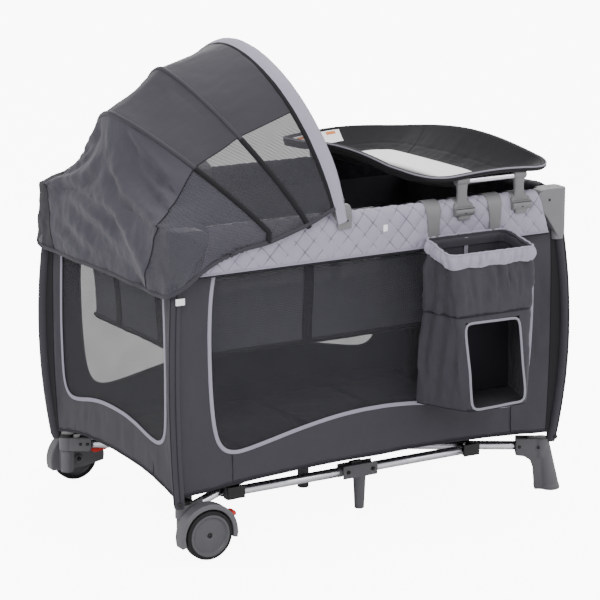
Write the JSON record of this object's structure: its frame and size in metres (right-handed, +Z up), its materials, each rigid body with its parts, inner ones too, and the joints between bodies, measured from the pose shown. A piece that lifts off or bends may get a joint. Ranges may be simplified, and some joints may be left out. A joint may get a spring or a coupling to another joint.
{
  "type": "travel play yard",
  "caption": "Folding travel play yard with mesh-window fabric sides, hanging bassinet, bowed canopy, changing table and side organizer, on fixed feet at one end and wheels at the other.",
  "frame": {"origin": "on the floor, under the centre of the rectangle of the four corner posts", "axes": "+X along the length toward the fixed-foot and changing-table end (the wheels and canopy are at -X), +Y toward the back long side, +Z up"},
  "size_m": [1.0859, 0.8535, 1.1214],
  "materials": {
    "frame_tube": "satin powder coat",
    "side_tube": "satin silver",
    "corner_plastic": "fine grain",
    "foot_plastic": "moulded, fine grain",
    "caster_plastic": "moulded, fine grain",
    "wheel": "matt",
    "pedal": "glossy",
    "clamp_plastic": "fine grain",
    "accessory_plastic": "moulded, fine grain",
    "canopy_clip": "moulded, fine grain",
    "canopy_bow": "smooth rod",
    "canopy_fabric": "plain weave with light sheen",
    "side_fabric": "plain weave with mesh windows",
    "bassinet_fabric": "dark mesh and plain weave",
    "mattress_fabric": "plain weave, padded",
    "organizer_fabric": "plain weave, light binding",
    "changer_rim": "satin",
    "changer_fabric": "black nylon with pale wipe-clean pad"
  },
  "bodies": {
    "corner_front_right": {"post_front_right": "frame_tube", "corner_bracket_front_right": "corner_plastic", "foot_front_right": "foot_plastic", "side_fabric": "side_fabric"},
    "corner_front_left": {"post_front_left": "frame_tube", "corner_bracket_front_left": "corner_plastic", "wheel_bracket_front": "caster_plastic", "mudguard_front": "caster_plastic"},
    "corner_back_left": {"post_back_left": "frame_tube", "corner_bracket_back_left": "corner_plastic", "wheel_bracket_back": "caster_plastic", "mudguard_back": "caster_plastic"},
    "corner_back_right": {"post_back_right": "frame_tube", "corner_bracket_back_right": "corner_plastic", "foot_back_right": "foot_plastic"},
    "floor_tube_front_left": {"floor_tube_front_left": "frame_tube"},
    "floor_tube_front_right": {"floor_tube_front_right": "frame_tube"},
    "floor_tube_back_left": {"floor_tube_back_left": "frame_tube"},
    "floor_tube_back_right": {"floor_tube_back_right": "frame_tube"},
    "floor_hub": {"floor_hub": "foot_plastic"},
    "rail_front_right": {"rail_front_right": "frame_tube"},
    "rail_front_left": {"rail_front_left": "frame_tube"},
    "rail_back_right": {"rail_back_right": "frame_tube"},
    "rail_back_left": {"rail_back_left": "frame_tube"},
    "end_rail_right_front": {"end_rail_right_front": "frame_tube"},
    "end_rail_right_back": {"end_rail_right_back": "frame_tube"},
    "end_rail_left_front": {"end_rail_left_front": "frame_tube"},
    "end_rail_left_back": {"end_rail_left_back": "frame_tube"},
    "rail_lock_front": {"rail_lock_front": "corner_plastic"},
    "rail_lock_back": {"rail_lock_back": "corner_plastic"},
    "rail_lock_right": {"rail_lock_right": "corner_plastic"},
    "rail_lock_left": {"rail_lock_left": "corner_plastic"},
    "tube_clamp_front_left": {"tube_clamp_front_left": "clamp_plastic"},
    "tube_clamp_front_right": {"tube_clamp_front_right": "clamp_plastic"},
    "tube_clamp_back_left": {"tube_clamp_back_left": "clamp_plastic"},
    "tube_clamp_back_right": {"tube_clamp_back_right": "clamp_plastic"},
    "side_tube_front_left": {"side_tube_front_left": "side_tube"},
    "side_tube_front_right": {"side_tube_front_right": "side_tube"},
    "side_tube_back_left": {"side_tube_back_left": "side_tube"},
    "side_tube_back_right": {"side_tube_back_right": "side_tube"},
    "middle_foot_front": {"middle_foot_front": "foot_plastic"},
    "middle_foot_back": {"middle_foot_back": "foot_plastic"},
    "mattress": {"mattress": "mattress_fabric"},
    "bassinet": {"bassinet": "bassinet_fabric"},
    "organizer": {"organizer_hooks": "accessory_plastic", "organizer_bag": "organizer_fabric"},
    "canopy_base": {"canopy_clip_front": "canopy_clip", "canopy_clip_back": "canopy_clip", "canopy_cover": "canopy_fabric"},
    "changer_base": {"changer_clamp_left": "accessory_plastic", "changer_clamp_right": "accessory_plastic"},
    "canopy_bow_front": {"canopy_bow_front": "canopy_bow"},
    "canopy_bow_middle": {"canopy_bow_middle": "canopy_bow"},
    "canopy_bow_rear": {"canopy_bow_rear": "canopy_bow"},
    "changer": {"changer_frame": "changer_rim", "changer_pad": "changer_fabric"},
    "wheel_front": {"wheel_front": "wheel"},
    "brake_pedal_front": {"brake_pedal_front": "pedal"},
    "wheel_back": {"wheel_back": "wheel"},
    "brake_pedal_back": {"brake_pedal_back": "pedal"}
  },
  "joints": [
    {"name": "fold", "type": "hinge", "parent": "corner_front_right", "child": "floor_tube_front_right", "pos_m": [0.45669, -0.28139, 0.108], "axis": [0.5246, 0.8514, 0], "range_deg": [0, 78], "deforming": ["side_fabric", "bassinet", "mattress", "canopy_cover", "organizer_bag"]},
    {"name": "hub_pivot_front_right", "type": "hinge", "parent": "floor_tube_front_right", "child": "floor_hub", "pos_m": [0.05534, -0.0341, 0.108], "axis": [0.5246, 0.8514, 0], "range_deg": [-85, 0]},
    {"name": "hub_pivot_front_left", "type": "hinge", "parent": "floor_hub", "child": "floor_tube_front_left", "pos_m": [-0.05534, -0.0341, 0.108], "axis": [0.5246, -0.8514, 0], "range_deg": [0, 85]},
    {"name": "post_pivot_front_left", "type": "hinge", "parent": "floor_tube_front_left", "child": "corner_front_left", "pos_m": [-0.45669, -0.28139, 0.108], "axis": [0.5246, -0.8514, 0], "range_deg": [-85, 0]},
    {"name": "hub_pivot_back_right", "type": "hinge", "parent": "floor_hub", "child": "floor_tube_back_right", "pos_m": [0.05534, 0.0341, 0.108], "axis": [-0.5246, 0.8514, 0], "range_deg": [0, 85]},
    {"name": "post_pivot_back_right", "type": "hinge", "parent": "floor_tube_back_right", "child": "corner_back_right", "pos_m": [0.45669, 0.28139, 0.108], "axis": [-0.5246, 0.8514, 0], "range_deg": [-85, 0]},
    {"name": "hub_pivot_back_left", "type": "hinge", "parent": "floor_hub", "child": "floor_tube_back_left", "pos_m": [-0.05534, 0.0341, 0.108], "axis": [-0.5246, -0.8514, 0], "range_deg": [0, 85]},
    {"name": "post_pivot_back_left", "type": "hinge", "parent": "floor_tube_back_left", "child": "corner_back_left", "pos_m": [-0.45669, 0.28139, 0.108], "axis": [-0.5246, -0.8514, 0], "range_deg": [-85, 0]},
    {"name": "rail_front_right_pivot", "type": "hinge", "parent": "corner_front_right", "child": "rail_front_right", "pos_m": [0.45, -0.323, 0.725], "axis": [0, -1, 0], "range_deg": [0, 85]},
    {"name": "rail_front_left_pivot", "type": "hinge", "parent": "corner_front_left", "child": "rail_front_left", "pos_m": [-0.45, -0.323, 0.725], "axis": [0, 1, 0], "range_deg": [0, 85]},
    {"name": "rail_back_right_pivot", "type": "hinge", "parent": "corner_back_right", "child": "rail_back_right", "pos_m": [0.45, 0.323, 0.725], "axis": [0, -1, 0], "range_deg": [0, 85]},
    {"name": "rail_back_left_pivot", "type": "hinge", "parent": "corner_back_left", "child": "rail_back_left", "pos_m": [-0.45, 0.323, 0.725], "axis": [0, 1, 0], "range_deg": [0, 85]},
    {"name": "end_rail_right_front_pivot", "type": "hinge", "parent": "corner_front_right", "child": "end_rail_right_front", "pos_m": [0.508, -0.273, 0.725], "axis": [-1, 0, 0], "range_deg": [0, 85]},
    {"name": "end_rail_right_back_pivot", "type": "hinge", "parent": "corner_back_right", "child": "end_rail_right_back", "pos_m": [0.508, 0.273, 0.725], "axis": [1, 0, 0], "range_deg": [0, 85]},
    {"name": "end_rail_left_front_pivot", "type": "hinge", "parent": "corner_front_left", "child": "end_rail_left_front", "pos_m": [-0.508, -0.273, 0.725], "axis": [-1, 0, 0], "range_deg": [0, 85]},
    {"name": "end_rail_left_back_pivot", "type": "hinge", "parent": "corner_back_left", "child": "end_rail_left_back", "pos_m": [-0.508, 0.273, 0.725], "axis": [1, 0, 0], "range_deg": [0, 85]},
    {"name": "rail_lock_front_pivot", "type": "hinge", "parent": "rail_front_right", "child": "rail_lock_front", "pos_m": [0.04865, -0.323, 0.725], "axis": [0, -1, 0], "range_deg": [-85, 0]},
    {"name": "rail_lock_back_pivot", "type": "hinge", "parent": "rail_back_right", "child": "rail_lock_back", "pos_m": [0.04865, 0.323, 0.725], "axis": [0, -1, 0], "range_deg": [-85, 0]},
    {"name": "rail_lock_right_pivot", "type": "hinge", "parent": "end_rail_right_front", "child": "rail_lock_right", "pos_m": [0.508, -0.0257, 0.725], "axis": [-1, 0, 0], "range_deg": [-85, 0]},
    {"name": "rail_lock_left_pivot", "type": "hinge", "parent": "end_rail_left_front", "child": "rail_lock_left", "pos_m": [-0.508, -0.0257, 0.725], "axis": [-1, 0, 0], "range_deg": [-85, 0]},
    {"name": "tube_clamp_front_left_pivot", "type": "hinge", "parent": "floor_tube_front_left", "child": "tube_clamp_front_left", "pos_m": [-0.335, -0.20641, 0.108], "axis": [0.5246, -0.8514, 0], "range_deg": [-85, 0]},
    {"name": "tube_clamp_front_right_pivot", "type": "hinge", "parent": "floor_tube_front_right", "child": "tube_clamp_front_right", "pos_m": [0.335, -0.20641, 0.108], "axis": [0.5246, 0.8514, 0], "range_deg": [-85, 0]},
    {"name": "tube_clamp_back_left_pivot", "type": "hinge", "parent": "floor_tube_back_left", "child": "tube_clamp_back_left", "pos_m": [-0.335, 0.20641, 0.108], "axis": [-0.5246, -0.8514, 0], "range_deg": [-85, 0]},
    {"name": "tube_clamp_back_right_pivot", "type": "hinge", "parent": "floor_tube_back_right", "child": "tube_clamp_back_right", "pos_m": [0.335, 0.20641, 0.108], "axis": [-0.5246, 0.8514, 0], "range_deg": [-85, 0]},
    {"name": "side_tube_front_left_pivot", "type": "hinge", "parent": "tube_clamp_front_left", "child": "side_tube_front_left", "pos_m": [-0.31566, -0.23741, 0.108], "axis": [0, -1, 0], "range_deg": [0, 85]},
    {"name": "side_tube_front_right_pivot", "type": "hinge", "parent": "tube_clamp_front_right", "child": "side_tube_front_right", "pos_m": [0.31566, -0.23741, 0.108], "axis": [0, 1, 0], "range_deg": [0, 85]},
    {"name": "side_tube_back_left_pivot", "type": "hinge", "parent": "tube_clamp_back_left", "child": "side_tube_back_left", "pos_m": [-0.31566, 0.23741, 0.108], "axis": [0, -1, 0], "range_deg": [0, 85]},
    {"name": "side_tube_back_right_pivot", "type": "hinge", "parent": "tube_clamp_back_right", "child": "side_tube_back_right", "pos_m": [0.31566, 0.23741, 0.108], "axis": [0, 1, 0], "range_deg": [0, 85]},
    {"name": "middle_foot_front_pivot", "type": "hinge", "parent": "side_tube_front_right", "child": "middle_foot_front", "pos_m": [0.036, -0.23741, 0.108], "axis": [0, 1, 0], "range_deg": [-85, 0]},
    {"name": "middle_foot_back_pivot", "type": "hinge", "parent": "side_tube_back_right", "child": "middle_foot_back", "pos_m": [0.036, 0.23741, 0.108], "axis": [0, 1, 0], "range_deg": [-85, 0]},
    {"name": "mattress_lift", "type": "slide", "parent": "corner_front_right", "child": "mattress", "axis": [0, 0, 1], "range_m": [0, 0.701]},
    {"name": "bassinet_lift", "type": "slide", "parent": "corner_front_right", "child": "bassinet", "axis": [0, 0, 1], "range_m": [0, 0.837]},
    {"name": "organizer_lift", "type": "slide", "parent": "corner_front_right", "child": "organizer", "axis": [0, 0, 1], "range_m": [0, 0.837]},
    {"name": "canopy_base_lift", "type": "slide", "parent": "corner_front_right", "child": "canopy_base", "axis": [0, 0, 1], "range_m": [0, 0.864]},
    {"name": "changer_base_lift", "type": "slide", "parent": "corner_front_right", "child": "changer_base", "axis": [0, 0, 1], "range_m": [0, 0.864]},
    {"name": "canopy_fold", "type": "hinge", "parent": "canopy_base", "child": "canopy_bow_front", "pos_m": [-0.103, 0, 0.745], "axis": [0, -1, 0], "range_deg": [0, 30], "deforming": ["canopy_cover"]},
    {"name": "canopy_bow_middle_pivot", "type": "hinge", "parent": "canopy_base", "child": "canopy_bow_middle", "pos_m": [-0.103, 0, 0.745], "axis": [0, -1, 0], "range_deg": [0, 20]},
    {"name": "canopy_bow_rear_pivot", "type": "hinge", "parent": "canopy_base", "child": "canopy_bow_rear", "pos_m": [-0.103, 0, 0.745], "axis": [0, -1, 0], "range_deg": [0, 6.5]},
    {"name": "changer_flip", "type": "hinge", "parent": "changer_base", "child": "changer", "pos_m": [0.3105, -0.335, 0.757], "axis": [1, 0, 0], "range_deg": [0, 95]},
    {"name": "wheel_front_spin", "type": "hinge", "parent": "corner_front_left", "child": "wheel_front", "pos_m": [-0.455, -0.346, 0.0575], "axis": [0, 1, 0], "continuous": true},
    {"name": "brake_front", "type": "hinge", "parent": "corner_front_left", "child": "brake_pedal_front", "pos_m": [-0.415, -0.316, 0.08], "axis": [0, 1, 0], "range_deg": [0, 18]},
    {"name": "wheel_back_spin", "type": "hinge", "parent": "corner_back_left", "child": "wheel_back", "pos_m": [-0.455, 0.346, 0.0575], "axis": [0, 1, 0], "continuous": true},
    {"name": "brake_back", "type": "hinge", "parent": "corner_back_left", "child": "brake_pedal_back", "pos_m": [-0.415, 0.316, 0.08], "axis": [0, 1, 0], "range_deg": [0, 18]}
  ],
  "couplings": [
    {"joint": "hub_pivot_front_right", "follows": "fold", "ratio": -1},
    {"joint": "hub_pivot_front_left", "follows": "fold", "ratio": 1},
    {"joint": "post_pivot_front_left", "follows": "fold", "ratio": -1},
    {"joint": "hub_pivot_back_right", "follows": "fold", "ratio": 1},
    {"joint": "post_pivot_back_right", "follows": "fold", "ratio": -1},
    {"joint": "hub_pivot_back_left", "follows": "fold", "ratio": 1},
    {"joint": "post_pivot_back_left", "follows": "fold", "ratio": -1},
    {"joint": "rail_front_right_pivot", "follows": "fold", "ratio": 1},
    {"joint": "rail_front_left_pivot", "follows": "fold", "ratio": 1},
    {"joint": "rail_back_right_pivot", "follows": "fold", "ratio": 1},
    {"joint": "rail_back_left_pivot", "follows": "fold", "ratio": 1},
    {"joint": "end_rail_right_front_pivot", "follows": "fold", "ratio": 1},
    {"joint": "end_rail_right_back_pivot", "follows": "fold", "ratio": 1},
    {"joint": "end_rail_left_front_pivot", "follows": "fold", "ratio": 1},
    {"joint": "end_rail_left_back_pivot", "follows": "fold", "ratio": 1},
    {"joint": "rail_lock_front_pivot", "follows": "fold", "ratio": -1},
    {"joint": "rail_lock_back_pivot", "follows": "fold", "ratio": -1},
    {"joint": "rail_lock_right_pivot", "follows": "fold", "ratio": -1},
    {"joint": "rail_lock_left_pivot", "follows": "fold", "ratio": -1},
    {"joint": "tube_clamp_front_left_pivot", "follows": "fold", "ratio": -1},
    {"joint": "tube_clamp_front_right_pivot", "follows": "fold", "ratio": -1},
    {"joint": "tube_clamp_back_left_pivot", "follows": "fold", "ratio": -1},
    {"joint": "tube_clamp_back_right_pivot", "follows": "fold", "ratio": -1},
    {"joint": "side_tube_front_left_pivot", "follows": "fold", "ratio": 1},
    {"joint": "side_tube_front_right_pivot", "follows": "fold", "ratio": 1},
    {"joint": "side_tube_back_left_pivot", "follows": "fold", "ratio": 1},
    {"joint": "side_tube_back_right_pivot", "follows": "fold", "ratio": 1},
    {"joint": "middle_foot_front_pivot", "follows": "fold", "ratio": -1},
    {"joint": "middle_foot_back_pivot", "follows": "fold", "ratio": -1},
    {"joint": "mattress_lift", "follows": "fold", "m_per_rad": 0.5},
    {"joint": "bassinet_lift", "follows": "fold", "m_per_rad": 0.6},
    {"joint": "organizer_lift", "follows": "fold", "m_per_rad": 0.6},
    {"joint": "canopy_base_lift", "follows": "fold", "m_per_rad": 0.62},
    {"joint": "changer_base_lift", "follows": "fold", "m_per_rad": 0.62},
    {"joint": "canopy_bow_middle_pivot", "follows": "canopy_fold", "ratio": 0.6},
    {"joint": "canopy_bow_rear_pivot", "follows": "canopy_fold", "ratio": 0.15}
  ]
}
